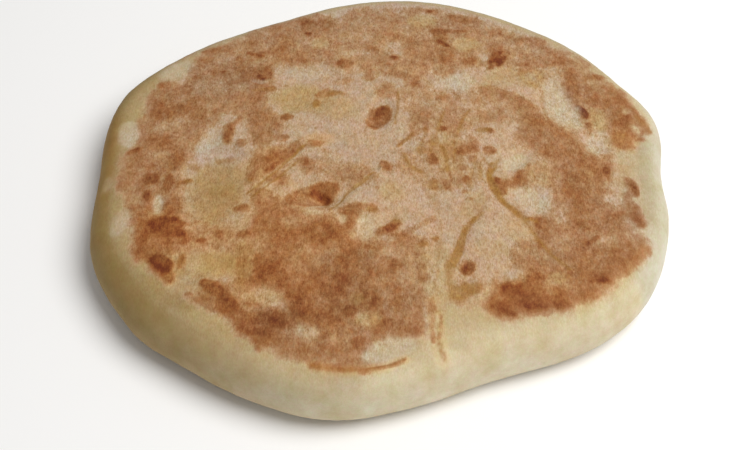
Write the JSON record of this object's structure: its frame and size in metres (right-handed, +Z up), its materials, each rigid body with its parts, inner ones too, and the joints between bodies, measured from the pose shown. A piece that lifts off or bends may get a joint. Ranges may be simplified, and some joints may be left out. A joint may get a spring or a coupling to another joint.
{
  "type": "bazlama flatbread",
  "caption": "Thick round flatbread, uncut, with steep puffed flanks and a nearly flat, patchily browned top. Food to serve, fill or set on a table.",
  "frame": {"origin": "under the middle of the bread's box, on the surface that it lies on", "axes": "+Z up out of the browned top, +X to the right and +Y away as the picture sees the bread"},
  "size_m": [0.1993, 0.1848, 0.0231],
  "materials": {
    "crust": "matte baked dough, pale cream on the flanks and patchily browned on the top and the underside"
  },
  "bodies": {
    "root": {"bread": "crust"}
  },
  "joints": []
}
